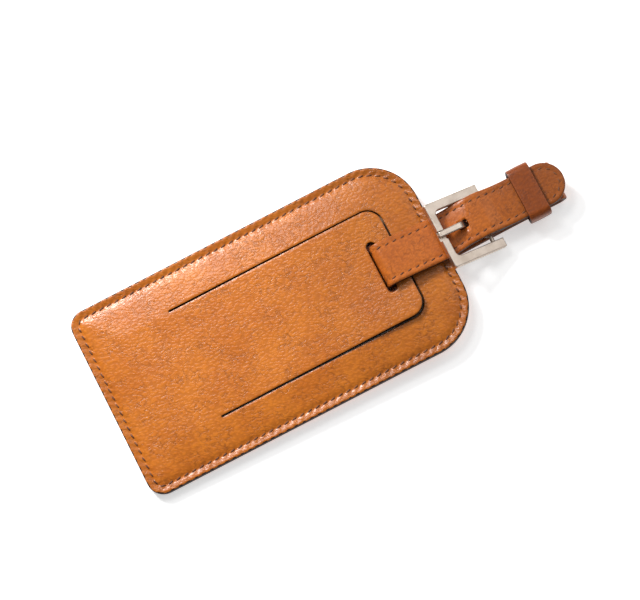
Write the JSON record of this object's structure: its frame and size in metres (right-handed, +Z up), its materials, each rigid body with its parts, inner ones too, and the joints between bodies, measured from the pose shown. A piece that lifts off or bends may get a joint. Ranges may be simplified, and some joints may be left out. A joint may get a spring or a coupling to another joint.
{
  "type": "luggage tag",
  "caption": "Leather luggage tag with a hinged flap cut in its face over a card pocket, and a strap looped through an end slot, closed by a small prong buckle and keeper.",
  "frame": {"origin": "centre of the tag's and strap's bounding box, on the surface that the tag lies on", "axes": "+X along the tag towards the strap's tip, +Y across it, +Z up, out of the front face"},
  "size_m": [0.1581, 0.0636, 0.0114],
  "materials": {
    "panel_leather": "pebbled, semi-gloss",
    "strap_leather": "fine grain, satin",
    "strap_lining": "smooth, matt",
    "keeper_leather": "smooth, satin",
    "lining": "matt",
    "board": "matt",
    "card": "matt",
    "window_film": "clear, glossy",
    "thread": "waxed thread",
    "buckle_metal": "satin nickel plating"
  },
  "bodies": {
    "tag": {"back_panel": "panel_leather", "back_board": "board", "back_lining": "lining", "card_window": "window_film", "front_lining": "lining", "front_panel": "panel_leather", "back_stitching": "thread", "front_stitching": "thread", "strap_root_leather": "strap_leather", "strap_root_lining": "strap_lining", "strap_root_stitching": "thread"},
    "flap": {"flap_leather": "panel_leather", "flap_lining": "lining"},
    "card": {"address_card": "card"},
    "strap": {"strap_loop_leather": "strap_leather", "strap_loop_lining": "strap_lining", "strap_upper_leather": "strap_leather", "strap_upper_lining": "strap_lining", "strap_stitching": "thread", "chape_stitching": "thread"},
    "keeper": {"keeper_band": "keeper_leather", "keeper_stitching": "thread"},
    "buckle": {"buckle_frame": "buckle_metal", "heel_pin": "buckle_metal"},
    "prong": {"prong": "buckle_metal"}
  },
  "joints": [
    {"name": "flap_lift", "type": "hinge", "parent": "tag", "child": "flap", "pos_m": [-0.04926, 0, 0.00315], "axis": [0, -1, 0], "range_deg": [-0.6, 0.6]},
    {"name": "card_slide", "type": "slide", "parent": "tag", "child": "card", "axis": [0.9998, 0, 0.0218], "range_m": [-0.0005, 0.002]},
    {"name": "strap_swing", "type": "hinge", "parent": "tag", "child": "strap", "pos_m": [0.0346, 0, 0.0072], "axis": [0, -1, 0], "range_deg": [0, 25]},
    {"name": "keeper_slide", "type": "slide", "parent": "strap", "child": "keeper", "axis": [1, 0, 0], "range_m": [-0.007, 0.0035]},
    {"name": "buckle_pivot", "type": "hinge", "parent": "strap", "child": "buckle", "pos_m": [0.0503, 0, 0.0047], "axis": [0, 1, 0], "range_deg": [0, 3]},
    {"name": "prong_pivot", "type": "hinge", "parent": "buckle", "child": "prong", "pos_m": [0.0503, 0, 0.0047], "axis": [0, 1, 0], "range_deg": [0, 2]}
  ]
}
